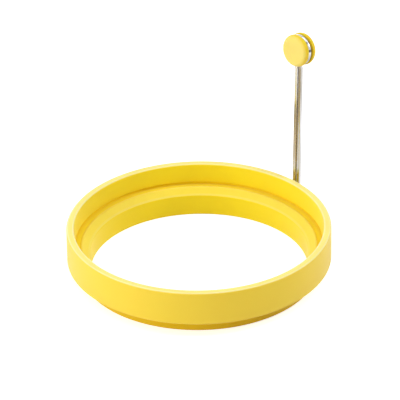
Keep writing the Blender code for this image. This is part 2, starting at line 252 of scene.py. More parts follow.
class NodeKit:
    """Adds nodes to a tree and joins them."""

    def __init__(self, tree):
        self.tree = tree

    def plug(self, socket, value):
        """Link a socket to an input, or set its plain value."""
        if isinstance(value, bpy.types.NodeSocket):
            self.tree.links.new(value, socket)
        else:
            socket.default_value = value

    def feed(self, node, **values):
        """Plug values into a node's inputs of the same names."""
        for name, value in values.items():
            self.plug(node.inputs[name.replace("_", " ")], value)

    def add(self, kind, inputs=(), **settings):
        """Add a node. inputs maps a socket's name or index to a value or another socket."""
        node = self.tree.nodes.new(kind)
        for name, value in settings.items():
            setattr(node, name, value)
        for key, value in dict(inputs).items():
            self.plug(node.inputs[key], value)
        return node

    def geometry(self, kind, inputs=(), **settings):
        """First output of a new geometry node."""
        return self.add(f"GeometryNode{kind}", inputs, **settings).outputs[0]

    def math(self, operation, first, second=0.0):
        """Result of a Math node."""
        return self.add("ShaderNodeMath", {0: first, 1: second}, operation=operation).outputs[0]

    def total(self, first, *others):
        """Sum of sockets and numbers."""
        for other in others:
            first = self.math("ADD", first, other)
        return first

    def times(self, first, *others):
        """Product of sockets and numbers."""
        for other in others:
            first = self.math("MULTIPLY", first, other)
        return first

    def less(self, first, second):
        """First minus second."""
        return self.math("SUBTRACT", first, second)

    def between(self, value, low, high, new_low=0.0, new_high=1.0):
        """Remap a value smoothly from one range to another."""
        inputs = {0: value, 1: low, 2: high, 3: new_low, 4: new_high}
        node = self.add("ShaderNodeMapRange", inputs, interpolation_type="SMOOTHSTEP")
        return node.outputs[0]

    def noise(self, vector, scale, detail, roughness=0.5):
        """Factor of a noise texture."""
        inputs = {"Vector": vector, "Scale": scale, "Detail": detail, "Roughness": roughness}
        return self.add("ShaderNodeTexNoise", inputs).outputs[0]

    def blend(self, share, first, second):
        """Mix of two colours, by the places of the node's colour sockets."""
        inputs = {0: share, 6: first, 7: second}
        return self.add("ShaderNodeMix", inputs, data_type="RGBA").outputs[2]

    def bumped(self, height, strength, depth):
        """Normal of a surface with a fine relief."""
        inputs = {"Strength": strength, "Distance": depth, "Height": height}
        return self.add("ShaderNodeBump", inputs).outputs[0]

    def vector(self, x=0.0, y=0.0, z=0.0):
        """Vector of three sockets or numbers."""
        return self.add("ShaderNodeCombineXYZ", {"X": x, "Y": y, "Z": z}).outputs[0]

    def split(self, vector):
        """The three parts of a vector."""
        return self.add("ShaderNodeSeparateXYZ", {0: vector}).outputs

    def pick(self, data_type, values):
        """The value whose place in the list is the point's index."""
        node = self.add("GeometryNodeIndexSwitch", data_type=data_type)
        while len(node.index_switch_items) < len(values):
            node.index_switch_items.new()
        index = self.geometry("InputIndex")
        for place, value in enumerate([index, *values]):
            self.plug(node.inputs[place], value)
        return node.outputs[0]

    def named(self, data_type, name):
        """A stored attribute."""
        node = self.add("GeometryNodeInputNamedAttribute", {"Name": name}, data_type=data_type)
        return node.outputs["Attribute"]

    def store(self, geometry, data_type, name, value):
        """Store an attribute on the points."""
        inputs = {"Geometry": geometry, "Name": name, "Value": value}
        return self.geometry("StoreNamedAttribute", inputs, data_type=data_type, domain="POINT")

    def weld(self, mesh):
        """Merge the doubled points of a mesh."""
        return self.geometry("MergeByDistance", {"Geometry": mesh, "Distance": WELD})


def new_tree(name, group, keys, others=("material",)):
    """Start a geometry tree with named inputs: sizes of a group, and others.

    Returns the tree, its node kit and the inputs' sockets by key.
    """
    tree = bpy.data.node_groups.new(name, "GeometryNodeTree")
    tree.is_modifier = True
    shown = group.bl_rna.properties
    inputs = {key: (key.title(), key.title()) for key in others}
    inputs |= {key: (shown[key].name, shown[key].type.title()) for key in keys}
    for label, kind in inputs.values():
        socket_type = f"NodeSocket{kind}"
        socket = tree.interface.new_socket(label, in_out="INPUT", socket_type=socket_type)
        if kind == "Float":
            socket.subtype = "DISTANCE"
    tree.interface.new_socket("Geometry", in_out="OUTPUT", socket_type="NodeSocketGeometry")
    kit = NodeKit(tree)
    given = kit.add("NodeGroupInput").outputs
    sockets = {key: given[label] for key, (label, _) in inputs.items()}
    return tree, kit, SimpleNamespace(**sockets)


def finish_tree(kit, mesh, material):
    """End a tree in smooth shading, real geometry and its material."""
    smooth = kit.geometry("SetShadeSmooth", {"Geometry": mesh})
    real = kit.geometry("RealizeInstances", {"Geometry": smooth})
    dressed = kit.geometry("SetMaterial", {"Geometry": real, "Material": material})
    kit.add("NodeGroupOutput", {0: dressed})


def filleted(kit, curve, corners, steps):
    """Set a curve's points to the corners, each (radius, height, round), and round them."""
    places = [kit.vector(radius, height) for radius, height, _ in corners]
    inputs = {"Geometry": curve, "Position": kit.pick("VECTOR", places)}
    curve = kit.geometry("SetPosition", inputs)
    rounds = kit.pick("FLOAT", [corner[2] for corner in corners])
    inputs = {"Curve": curve, "Count": steps, "Radius": rounds, "Limit Radius": True}
    return kit.geometry("FilletCurve", inputs, mode="POLY")


def finish_turned(kit, curve, corners, size):
    """End a tree in the outline through the corners, turned about Z."""
    outline = filleted(kit, curve, corners, size.round_steps)
    outline = kit.store(outline, "FLOAT_VECTOR", "outline", kit.geometry("InputPosition"))
    circle = kit.geometry("CurvePrimitiveCircle", {"Resolution": size.turn_steps})
    share = kit.math("DIVIDE", kit.geometry("InputIndex"), size.turn_steps)
    circle = kit.store(circle, "FLOAT", "turn", kit.times(share, math.tau))
    swept = kit.geometry("CurveToMesh", {"Curve": circle, "Profile Curve": outline})
    radius, height, _ = kit.split(kit.named("FLOAT_VECTOR", "outline"))
    turn = kit.named("FLOAT", "turn")
    across = kit.times(radius, kit.math("COSINE", turn))
    along = kit.times(radius, kit.math("SINE", turn))
    inputs = {"Geometry": swept, "Position": kit.vector(across, along, height)}
    turned = kit.geometry("SetPosition", inputs)
    for name in ("outline", "turn"):
        turned = kit.geometry("RemoveAttribute", {"Geometry": turned, "Name": name})
    finish_tree(kit, kit.weld(turned), size.material)


def ring_tree(ring):
    """Tree of the ring's body: its outline from named sizes, turned about Z."""
    tree, kit, size = new_tree("Moulded ring", ring, ring.__annotations__)
    wall_top = kit.less(size.rim_radius, size.rim_width)
    wall_foot = kit.less(wall_top, size.wall_draft)
    ledge = kit.less(wall_foot, size.groove_width)
    opening = kit.less(ledge, size.ledge_width)
    foot = kit.less(wall_foot, size.nest_clearance)
    groove_height = kit.total(size.foot_height, size.web_height)
    ledge_height = kit.total(groove_height, size.groove_depth)
    height = kit.total(ledge_height, size.nest_headroom, size.foot_height)
    groove_back = kit.total(wall_foot, size.undercut_depth)
    wall_edge = kit.total(groove_height, size.undercut_height)
    corners = [
        (size.rim_radius, height, size.rim_round),
        (size.rim_radius, size.foot_height, size.band_round),
        (foot, size.foot_height, size.foot_round),
        (foot, 0.0, size.foot_round),
        (opening, 0.0, size.foot_round),
        (opening, kit.less(ledge_height, size.ledge_drop), size.lip_round),
        (ledge, ledge_height, size.ledge_round),
        (kit.total(ledge, size.groove_depth), groove_height, size.groove_round),
        (groove_back, groove_height, size.groove_round),
        (groove_back, wall_edge, size.undercut_round),
        (wall_foot, wall_edge, size.undercut_round),
        (wall_top, height, size.rim_round),
    ]
    polygon = kit.geometry("CurvePrimitiveCircle", {"Resolution": len(corners)})
    finish_turned(kit, polygon, corners, size)
    return tree


CAP_SIZES = (
    "radius", "inner", "outer", "dish", "dish_radius", "face_round", "edge_round", "small_round",
    "turn_steps", "round_steps",
)
STUB_SIZES = ("stub_radius", "stub_end")
HUB_SIZES = ("hub_radius", "hub_end", "socket_radius", "socket_depth")


def cap_tree(name, knob, lower_sizes, lower_corners):
    """Tree of a cap: a dished face, a round edge, and a lower side of its own.

    lower_corners makes the corners of the lower side from the tree's inputs.
    """
    tree, kit, size = new_tree(name, knob, CAP_SIZES + lower_sizes)
    top = kit.less(size.outer, size.dish)
    corners = [
        (0.0, top, 0.0),
        (size.dish_radius, top, size.radius),
        (size.radius, size.outer, size.face_round),
        (size.radius, size.inner, size.edge_round),
        *lower_corners(kit, size),
    ]
    line = kit.geometry("CurvePrimitiveLine")
    points = kit.geometry("ResampleCurve", {"Curve": line, "Count": len(corners)})
    finish_turned(kit, points, corners, size)
    return tree


def stub_corners(kit, size):
    """Lower side of the front cap, with the stub."""
    end = kit.less(0.0, size.stub_end)
    return [
        (size.stub_radius, size.inner, 0.0),
        (size.stub_radius, end, size.small_round),
        (0.0, end, 0.0),
    ]


def hub_corners(kit, size):
    """Lower side of the rear cap, with the hub and its socket."""
    end = kit.less(0.0, size.hub_end)
    return [
        (size.hub_radius, size.inner, 0.0),
        (size.hub_radius, end, size.small_round),
        (size.socket_radius, end, 0.0),
        (size.socket_radius, size.socket_depth, 0.0),
        (0.0, size.socket_depth, 0.0),
    ]


def wire_tree(handle):
    """Tree of the wire: a round tube along the bent line, with its length and side stored."""
    sizes, others = ("wire_radius", "wire_sides"), ("geometry", "material")
    tree, kit, given = new_tree("Bent wire", handle, sizes, others)
    spline = kit.add("GeometryNodeSplineParameter").outputs
    line = kit.store(given.geometry, "FLOAT", "wire_along", spline["Length"])
    line = kit.store(line, "FLOAT", "wire_share", spline["Factor"])
    inputs = {"Resolution": given.wire_sides, "Radius": given.wire_radius}
    section = kit.geometry("CurvePrimitiveCircle", inputs)
    section = kit.store(section, "FLOAT_VECTOR", "wire_side", kit.geometry("InputPosition"))
    inputs = {"Curve": line, "Profile Curve": section, "Fill Caps": True}
    tube = kit.geometry("CurveToMesh", inputs)
    finish_tree(kit, kit.weld(tube), given.material)
    return tree


def set_inputs(modifier, group, material):
    """Set a tree's inputs by their sockets' identifiers, from a group's shown names."""
    shown = group.bl_rna.properties
    values = {shown[key].name: getattr(group, key) for key in group.__annotations__}
    values["Material"] = material
    for item in modifier.node_group.interface.items_tree:
        if item.name in values:
            modifier[item.identifier] = values[item.name]


# Objects

def link(name, data):
    """Link a new object."""
    obj = bpy.data.objects.new(name, data)
    bpy.context.scene.collection.objects.link(obj)
    return obj


def plain_mesh(obj, name):
    """Replace an object by a plain mesh of what its modifiers make, at the origin."""
    bpy.context.view_layer.update()
    depsgraph = bpy.context.evaluated_depsgraph_get()
    mesh = bpy.data.meshes.new_from_object(
        obj.evaluated_get(depsgraph), preserve_all_data_layers=True, depsgraph=depsgraph,
    )
    mesh.transform(obj.matrix_world)
    bpy.data.objects.remove(obj, do_unlink=True)
    mesh.name = name
    return link(name, mesh)


def grown(name, tree, group, material, data=None):
    """Object whose mesh a geometry tree makes from a group's sizes."""
    obj = link(name, data or bpy.data.meshes.new(name))
    modifier = obj.modifiers.new(tree.name, "NODES")
    modifier.node_group = tree
    set_inputs(modifier, group, material)
    return plain_mesh(obj, name)


def close_check(obj):
    """Point the faces outwards, and stop if the mesh isn't closed."""
    shape = bmesh.new()
    shape.from_mesh(obj.data)
    bmesh.ops.recalc_face_normals(shape, faces=shape.faces)
    open_edges = sum(not edge.is_manifold for edge in shape.edges)
    shape.to_mesh(obj.data)
    shape.free()
    if open_edges:
        raise RuntimeError(f"{obj.name} has {open_edges} open edges")


def finish_mesh(obj, crease):
    """Check the mesh and shade it smooth, with creases kept sharp."""
    close_check(obj)
    obj.data.shade_smooth()
    obj.data.set_sharp_from_angle(angle=crease)


def hinge_matrix():
    """Hinge frame: X along the pin, Y outwards, Z up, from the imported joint."""
    outward = Vector((HINGE.x, HINGE.y, 0)).normalized()
    up = Vector((0, 0, 1))
    along = outward.cross(up)
    turn = Matrix((along, outward, up)).transposed().to_4x4()
    return Matrix.Translation(HINGE) @ turn


def handle_matrix(handle):
    """Hinge frame turned by the handle's lean."""
    return hinge_matrix() @ Matrix.Rotation(-handle.lean, 4, "X")


# The hinge lug, a rounded field meshed cell by cell

# Depth of the lug's band under the ring's skin, its root as a part of the rim's width, and
# the room round it in its grid
LUG_SINK = 0.000015
LUG_ROOT_SHARE = 0.5
LUG_MARGIN = 0.0010

# Steps that settle the mesh on the field, and the flattest squared slope they follow
SETTLE_STEPS = 3
LEAST_SLOPE = 0.25


def round_join(first, second, radius):
    """Union of two distance fields with a fillet."""
    near_first = np.maximum(radius - first, 0)
    near_second = np.maximum(radius - second, 0)
    return np.maximum(radius, np.minimum(first, second)) - np.hypot(near_first, near_second)


def round_cut(first, second, radius):
    """Intersection of two distance fields with a rounded edge."""
    near_first = np.maximum(radius + first, 0)
    near_second = np.maximum(radius + second, 0)
    return np.minimum(-radius, np.maximum(first, second)) + np.hypot(near_first, near_second)


def lug_field(points, ring, lug):
    """Signed distance to the lug and the wall behind it. points are in the hinge frame."""
    x, y, z = points
    wall = np.hypot(y + HINGE_RADIUS, x) - ring.rim_radius + LUG_SINK
    underside = ring.foot_height + LUG_SINK - (z + HINGE.z)
    band = round_cut(wall, underside, ring.band_round)
    nose = np.where(y > 0, np.hypot(y, z), np.abs(z)) - lug.nose_radius
    block = round_cut(nose, np.abs(x) - lug.half_width, lug.edge_round)
    body = round_join(block, band, lug.root_fillet)
    back = ring.rim_radius - HINGE_RADIUS + lug.slot_pad
    slot = round_cut(back - y, -lug.slot_floor - z, lug.edge_round)
    slot = round_cut(slot, np.abs(x) - lug.slot_half_width, lug.edge_round / 2)
    body = round_cut(body, -slot, lug.edge_round)
    bore = np.maximum(np.hypot(y, z) - lug.bore_radius, np.abs(x) - lug.bore_end)
    body = round_cut(body, -bore, lug.grain)
    return np.maximum(body, -wall - ring.rim_width * LUG_ROOT_SHARE)


def meshed_field(field, low, high, step):
    """Vertices and quads of a field's zero surface, one vertex for each cell it crosses."""
    counts = np.ceil(np.subtract(high, low) / step).astype(int) + 1
    axes = [low[axis] + step * np.arange(counts[axis]) for axis in range(3)]
    grid = np.stack(np.meshgrid(*axes, indexing="ij"))
    values = field(grid)
    for axis in range(3):
        np.moveaxis(values, axis, 0)[[0, -1]] = step
    inside = values < 0
    cells = tuple(counts - 1)
    crossings = np.zeros((3, *cells))
    hits = np.zeros(cells)
    for axis in range(3):
        for shift in np.ndindex(2, 2):
            here, there = (
                tuple(slice(s, s + n) for s, n in zip(np.insert(shift, axis, end), cells))
                for end in (0, 1)
            )
            crossed = inside[here] != inside[there]
            share = values[here] / np.where(crossed, values[here] - values[there], 1)
            place = grid[(slice(None), *here)].copy()
            place[axis] += step * share
            crossings += np.where(crossed, place, 0)
            hits += crossed
    used = hits > 0
    numbers = np.full(cells, -1)
    numbers[used] = np.arange(used.sum())
    vertices = (crossings[:, used] / hits[used]).T
    quads = []
    for axis in range(3):
        others = [(axis + 1) % 3, (axis + 2) % 3]
        first = [slice(1, n) for n in cells]
        first[axis] = slice(0, cells[axis])
        second = list(first)
        second[axis] = slice(1, cells[axis] + 1)
        start, end = inside[tuple(first)], inside[tuple(second)]
        around = []
        for offsets in ((0, 0), (1, 0), (1, 1), (0, 1)):
            part = list(first)
            for other, offset in zip(others, offsets):
                part[other] = slice(1 - offset, cells[other] - offset)
            around.append(numbers[tuple(part)])
        around = np.stack(around, axis=-1)
        quads.append(around[start & ~end])
        quads.append(around[~start & end][:, ::-1])
    return vertices, np.concatenate(quads)


def settled(vertices, field, step):
    """Move vertices onto the field's zero surface along its slope."""
    for _ in range(SETTLE_STEPS):
        value = field(vertices.T)
        slope = np.stack([
            field((vertices + offset).T) - field((vertices - offset).T)
            for offset in np.eye(3) * step / 4
        ], axis=-1) / (step / 2)
        steepness = np.maximum((slope ** 2).sum(axis=1), LEAST_SLOPE)
        move = slope * (value / steepness)[:, None]
        vertices = vertices - np.clip(move, -step / 2, step / 2)
    return vertices


def lug_mesh(ring, lug):
    """Mesh of the lug in its place on the ring."""
    def field(points):
        return lug_field(points, ring, lug)

    reach = lug.nose_radius + LUG_MARGIN
    side = lug.half_width + lug.root_fillet + LUG_MARGIN
    behind = ring.rim_radius - HINGE_RADIUS - ring.rim_width
    low = (-side, behind, ring.foot_height - HINGE.z - LUG_MARGIN)
    high = (side, reach, reach + lug.root_fillet)
    vertices, quads = meshed_field(field, low, high, lug.grain)
    vertices = settled(vertices, field, lug.grain)
    mesh = bpy.data.meshes.new("lug")
    mesh.from_pydata(vertices.tolist(), [], quads.tolist())
    mesh.transform(hinge_matrix())
    return mesh


# Materials

def new_material(name):
    """Start a node material and return it with its node kit and its shader."""
    material = bpy.data.materials.new(name)
    material.use_nodes = True
    return material, NodeKit(material.node_tree), material.node_tree.nodes["Principled BSDF"]


def tinted(tone, factor=1.0):
    """A colour made lighter or darker, as four numbers."""
    return (*[min(1.0, channel * factor) for channel in tone], 1.0)


def spread(kit, noise, amount):
    """What a noise adds to a value, as much up as down."""
    return kit.times(kit.less(noise, 0.5), amount)


# Silicone: the part of a noise's range that makes a pattern
CLOUD_SPAN = (0.30, 0.70)
SPECK_SPAN = (0.45, 0.75)
RUBBED_SPAN = (0.35, 0.65)

# Tones of the mottling and the specks, and how uneven the painted sheen and the tones lie, the
# band's and the groove's tones being painted shade
MOTTLE_TONES = (0.965, 1.03)
SPECK_TONE = 1.08
SPECK_SHARE = 0.16
SPECK_RELIEF = 0.6
PAINTED_SHEEN_UNEVEN = (0.92, 1.08)
BAND_SHADE_UNEVEN = (0.85, 1.0)
GROOVE_SHADE_UNEVEN = (0.80, 1.0)
RUBBED_UNEVEN = (0.40, 1.0)
RUBBED_GLOSS = 0.08

# How far a face turns to carry the painted sheen, and the painted sheen's share on the flat of
# the rim and the painted highlight's share on the ledge's edge and the lip of the opening
FACING_SPAN = (0.35, 0.98)
RIM_PAINTED_SHEEN = 0.45
LEDGE_PAINTED_HIGHLIGHT = 0.20
LIP_PAINTED_HIGHLIGHT = 0.20

# Light that passes under the skin: weight and depth
RING_GLOW = (0.12, 0.0012)
KNOB_GLOW = (0.35, 0.003)

# Parts of the rim's width at which its worn edges, glossier and with a painted highlight, start
# and are full, reach of the rim's mask in rim rounds, and the masks' soft edge as a part of the
# undercut's depth
RUBBED_HIGHLIT_START = 5
RUBBED_HIGHLIT_FULL = 2.6
RIM_REACH = 1.5
MASK_EDGE = 4


def silicone_material(name, base, finish, bloom, facing, glow, ring=None):
    """Satin moulded silicone: soft mottling, fine grain and a pale painted sheen.

    facing is the direction whose faces carry the painted sheen. Given the ring's sizes, the band,
    the foot and the groove take darker tones of their own that are painted shade, the band also
    takes painted sheen, and the rim's worn edges are glossier and carry a painted highlight.
    """
    material, kit, shader = new_material(name)
    texture = kit.add("ShaderNodeTexCoord").outputs
    place = texture["Object"]
    cloud = kit.noise(place, scale=55.0, detail=3.0)
    speck = kit.noise(place, scale=900.0, detail=2.0)
    grain = kit.noise(place, scale=5200.0, detail=1.0)
    tones = (tinted(base, tone) for tone in MOTTLE_TONES)
    coloured = kit.blend(kit.between(cloud, *CLOUD_SPAN), *tones)
    specked = kit.between(speck, *SPECK_SPAN, 0.0, SPECK_SHARE)
    coloured = kit.blend(specked, coloured, tinted(base, SPECK_TONE))
    # Painted sheen on the faces turned towards facing
    inputs = {0: texture["Normal"], 1: tuple(facing)}
    along = kit.add("ShaderNodeVectorMath", inputs, operation="DOT_PRODUCT").outputs["Value"]
    painted_sheen_share = kit.between(along, *FACING_SPAN, 0.0, bloom)
    painted_sheen_share = kit.times(painted_sheen_share, kit.between(cloud, *CLOUD_SPAN, *PAINTED_SHEEN_UNEVEN))
    rough = kit.total(
        spread(kit, cloud, amount=0.10), spread(kit, speck, amount=0.12),
        finish.silicone_roughness,
    )
    if ring:
        masks = ring_masks(kit, place, ring)
        # Painted sheen and highlight from the ring's section, and painted sheen on the band
        painted_sheen_share = kit.times(painted_sheen_share, masks.bloom)
        painted_sheen_share = kit.math("MAXIMUM", painted_sheen_share, kit.times(masks.band, finish.band_bloom))
        # Painted shade: the band takes a darker copy of the ring's colour
        band = kit.times(masks.band, kit.between(cloud, *CLOUD_SPAN, *BAND_SHADE_UNEVEN))
        # Painted shade in the groove, uneven
        groove = kit.times(masks.groove, kit.between(cloud, *CLOUD_SPAN, *GROOVE_SHADE_UNEVEN))
        coloured = kit.blend(band, coloured, tinted(finish.band_shaded_colour))
        # Painted shade on the foot, under the band
        coloured = kit.blend(masks.foot, coloured, tinted(finish.foot_shade_colour))
        coloured = kit.blend(groove, coloured, tinted(finish.groove_shade_colour))
        # Worn rim edges are glossier; their painted highlight is in the painted sheen above
        rubbed = kit.between(speck, *RUBBED_SPAN, *RUBBED_UNEVEN)
        rough = kit.less(rough, kit.times(masks.rubbed, rubbed, RUBBED_GLOSS))
    relief = kit.total(kit.times(speck, SPECK_RELIEF), kit.times(grain, 1.0 - SPECK_RELIEF))
    weight, depth = glow
    kit.feed(
        shader, Base_Color=kit.blend(painted_sheen_share, coloured, tinted(finish.bloom_colour)),
        Roughness=rough, Normal=kit.bumped(relief, strength=0.35, depth=0.00003), IOR=1.41,
        Specular_IOR_Level=0.25, Sheen_Weight=finish.silicone_sheen,
        Sheen_Roughness=finish.sheen_roughness, Subsurface_Weight=weight,
        Subsurface_Scale=depth, Subsurface_Radius=(1.0, 0.6, 0.12),
    )
    return material


def ring_masks(kit, place, ring):
    """Masks from the ring's section: groove, worn rim edges, share of painted sheen and highlight,
    band and foot.
    """
    across, along, height = kit.split(place)
    flat = kit.add("ShaderNodeVectorMath", {0: kit.vector(across, along)}, operation="LENGTH")
    radius = flat.outputs["Value"]
    wall = ring.rim_radius - ring.rim_width - ring.wall_draft
    ledge = wall - ring.groove_width
    lip = ledge - ring.ledge_width + ring.lip_round
    foot = wall - ring.nest_clearance
    floor = ring.foot_height + ring.web_height
    top = floor + ring.groove_depth + ring.nest_headroom + ring.foot_height
    skin = ring.undercut_depth / MASK_EDGE
    behind = wall + ring.undercut_depth + skin
    edge = floor + ring.undercut_height
    # Where the groove's painted shade goes
    groove = kit.times(
        kit.between(radius, wall - ring.undercut_depth, wall),
        kit.between(radius, behind, behind + skin, 1.0, 0.0),
        kit.between(height, edge - skin, edge, 1.0, 0.0),
        kit.between(height, floor - skin * 2, floor - skin),
    )
    on_rim = kit.between(height, top - ring.rim_round * RIM_REACH, top - ring.rim_round)
    aside = kit.math("ABSOLUTE", kit.less(radius, ring.rim_radius - ring.rim_width / 2))
    # Worn rim edges: glossier, and carrying a painted highlight in the painted sheen below
    rubbed = kit.between(aside, ring.rim_width / RUBBED_HIGHLIT_START, ring.rim_width / RUBBED_HIGHLIT_FULL)
    rubbed = kit.times(rubbed, on_rim)
    # Painted sheen on the rim, painted highlight on its worn edges, on the ledge's edge and on the
    # lip
    bloom = kit.total(
        kit.times(on_rim, RIM_PAINTED_SHEEN), kit.times(rubbed, 1.0 - RIM_PAINTED_SHEEN),
        kit.between(radius, ledge, ledge + ring.ledge_round / 2, LEDGE_PAINTED_HIGHLIGHT, 0.0),
        kit.between(radius, lip, lip + ring.lip_round, LIP_PAINTED_HIGHLIGHT, 0.0),
    )
    # The band, which takes painted shade and painted sheen
    band = kit.between(radius, ring.rim_radius - skin * 2, ring.rim_radius - skin)
    # Where the foot's painted shade goes
    foot = kit.times(
        kit.between(radius, foot - skin * 2, foot - skin),
        kit.between(height, ring.foot_height - skin, ring.foot_height + skin, 1.0, 0.0),
    )
    return SimpleNamespace(groove=groove, rubbed=rubbed, bloom=bloom, band=band, foot=foot)


# Steel: places along the wire, as shares of the way from the loop's top (0) to a toe (1)
# Places of the painted dark spots on the loop
MARKS_START = (0.0, 0.075)
MARKS_END = (0.095, 0.115)
LOOP_FADE = (0.090, 0.125)
LOOP_END = (0.10, 0.20)
NECK_SPAN = (0.32, 0.66)
BURNISHED_HIGHLIGHT_FADE = (0.35, 0.75)
LEFT_SHADE_SPAN = (0.38, 0.52)
FOOT_SPAN = (0.70, 0.82)
MARK_PLACE = 0.050
MARK_SPACING = 0.038

# Sides of the wire, from -1 away from the other leg to 1 towards it: the painted highlight's side,
# the painted shade's side, and the painted shade's twist below the loop and its reach all round
# the left leg
BURNISHED_HIGHLIGHT_SIDE = (-0.95, -0.30)
DULL_SHADED_SIDE = (-0.1, 0.6)
WIRE_TWIST = math.radians(105)
RIGHT_TWIST = 0.75
LEFT_LEG_SHADE = 1.4

# Parts of the drawn lines and of the painted dark spots' wave that show, tones of the colours,
# and shares, most of them for painted shade, dark reflection and highlight
LINE_SPAN = (0.35, 0.65)
MARK_SPAN = (0.25, 0.95)
STEEL_TONES = (0.80, 1.08)
LEG_SHADE_TONES = (0.85, 1.15)
MARK_TONE = 0.55
BRIGHT_TONE = 0.90
GREY_TONE = 0.72
NECK_SHADE_SHARE = 0.7
FOOT_SHARE = 0.7
BURNISHED_HIGHLIGHT_LOW = 0.15
LINE_STRETCH = 0.02
DULL_ROUGHNESS = 0.14
BURNISHED_ROUGHNESS = 0.10


def wire_facing(kit, leg, across, outward, height, in_loop):
    """How far the wire's surface faces the other leg, which places the painted shade and highlight,
    with a twist below the loop.

    leg is -1 on the left and 1 on the right. across and outward place the surface in the
    wire's section, in wire radii. The left leg is rougher and painted shaded all round at
    mid-height.
    """
    # The painted shade winds round to the front below the loop
    turn = kit.times(
        kit.between(height, *NECK_SPAN, WIRE_TWIST, 0.0), kit.less(1.0, in_loop),
        kit.between(leg, -1.0, 1.0, 1.0, RIGHT_TWIST),
    )
    # Painted shade all round the left leg at mid-height
    left_leg_shade = kit.times(
        kit.between(leg, -1.0, 1.0, 1.0, 0.0),
        kit.between(height, *LEFT_SHADE_SPAN, 0.0, LEFT_LEG_SHADE),
    )
    return kit.total(
        kit.times(kit.math("COSINE", turn), outward),
        kit.times(kit.math("SINE", turn), leg, across), left_leg_shade,
    )


def loop_colour(kit, finish, height):
    """The loop: painted highlight at its top, painted darker reflection further down, and painted
    dark spots.
    """
    wave = kit.times(kit.less(height, MARK_PLACE), math.tau / MARK_SPACING)
    # Painted dark spots of reflection along the loop
    painted_dark_spots = kit.times(
        kit.between(kit.math("COSINE", wave), *MARK_SPAN),
        kit.between(height, *MARKS_START), kit.between(height, *MARKS_END, 1.0, 0.0),
    )
    bright = tinted(finish.painted_highlight_colour, BRIGHT_TONE)
    grey = tinted(finish.steel_colour, GREY_TONE)
    metal = kit.blend(kit.between(height, *LOOP_FADE), bright, grey)
    return kit.blend(painted_dark_spots, metal, tinted(finish.neck_shade_colour, MARK_TONE))


def steel_material(finish, wire_radius):
    """Bright drawn wire: fine lines along its length and, both a little rougher, a side with
    painted shade and dark reflection opposite one with a painted highlight.

    The shaded side faces the other leg in the lower half and winds round to the front below the
    loop.
    """
    material, kit, shader = new_material("drawn_steel")
    along, share, side = (
        kit.add("ShaderNodeAttribute", attribute_name=f"wire_{name}").outputs
        for name in ("along", "share", "side")
    )
    across, outward, _ = kit.split(side["Vector"])
    place = kit.vector(across, outward, kit.times(along["Fac"], LINE_STRETCH))
    lines = kit.noise(place, scale=1800.0, detail=4.0, roughness=0.6)
    place = kit.vector(across, outward, along["Fac"])
    cloud = kit.noise(place, scale=260.0, detail=2.0)
    from_top = kit.less(share["Fac"], 0.5)
    height = kit.math("ABSOLUTE", kit.times(from_top, 2.0))
    in_loop = kit.between(height, *LOOP_END, 1.0, 0.0)
    sides = [kit.math("DIVIDE", part, wire_radius) for part in (across, outward)]
    inward = wire_facing(kit, kit.math("SIGN", from_top), *sides, height, in_loop)
    inward = kit.total(inward, spread(kit, cloud, amount=0.5))
    # Painted highlight on the side away from the other leg, also rougher, fading downwards
    burnished_highlight = kit.times(
        kit.between(inward, *BURNISHED_HIGHLIGHT_SIDE, 1.0, 0.0), kit.less(1.0, in_loop),
        kit.between(height, *BURNISHED_HIGHLIGHT_FADE, 1.0, BURNISHED_HIGHLIGHT_LOW),
    )
    # Painted shade and dark reflection on the side facing the other leg, which is also rougher
    dull_shaded_side = kit.between(inward, *DULL_SHADED_SIDE)
    drawn = kit.between(lines, *LINE_SPAN)
    bright = tinted(finish.painted_highlight_colour)
    # The steel's own colour, then a painted highlight over it
    polished_and_highlit = kit.blend(drawn, *(tinted(finish.steel_colour, tone) for tone in STEEL_TONES))
    polished_and_highlit = kit.blend(burnished_highlight, polished_and_highlit, bright)
    # Painted shade: darker copies of the steel
    shaded_steel = kit.blend(drawn, *(tinted(finish.leg_shade_colour, tone) for tone in LEG_SHADE_TONES))
    # Painted dark reflection on the shaded side just below the loop
    neck = kit.between(height, *NECK_SPAN, NECK_SHADE_SHARE, 0.0)
    shaded_steel = kit.blend(neck, shaded_steel, tinted(finish.neck_shade_colour))
    # Painted highlight on the shaded side towards the toes
    shaded_steel = kit.blend(kit.between(height, *FOOT_SPAN, 0.0, FOOT_SHARE), shaded_steel, bright)
    legs = kit.blend(dull_shaded_side, polished_and_highlit, shaded_steel)
    rough = kit.total(
        spread(kit, lines, amount=0.10), spread(kit, cloud, amount=0.08),
        kit.times(dull_shaded_side, DULL_ROUGHNESS), kit.times(burnished_highlight, BURNISHED_ROUGHNESS),
        finish.steel_roughness,
    )
    kit.feed(
        shader, Base_Color=kit.blend(in_loop, legs, loop_colour(kit, finish, height)),
        Roughness=rough, Normal=kit.bumped(lines, strength=0.25, depth=0.000006),
        Metallic=1.0, Specular_Tint=(0.50, 0.48, 0.46, 1.0),
    )
    return material


# Stage

IMAGE_SIDE = 400
SENSOR_MILLIMETRES = 36.0
WHITE = (1.0, 1.0, 1.0, 1.0)

# Shift of the camera across its line of sight
CAMERA_RIGHT = 0.000591
CAMERA_UP = 0.025917

# Tones of the floor, and the white it adds to what is seen directly
PAPER_TONES = (0.995, 1.0)
FLOOR_LIFT = 0.65

# Azimuth and elevation of each softbox in degrees
SOFTBOXES = {
    "key": (215, 12), "left": (180, 40), "right": (0, 40), "back": (90, 12), "top": (0, 90),
}
LAMP_TARGET = Vector((0, 0, 0.02))


def direct_share(kit):
    """1 for what the camera, a mirror or glass sees directly, and 0 for lighting."""
    path = kit.add("ShaderNodeLightPath").outputs
    seen = [path[f"Is {kind} Ray"] for kind in ("Camera", "Glossy", "Transmission")]
    return kit.math("MINIMUM", kit.total(*seen), 1.0)


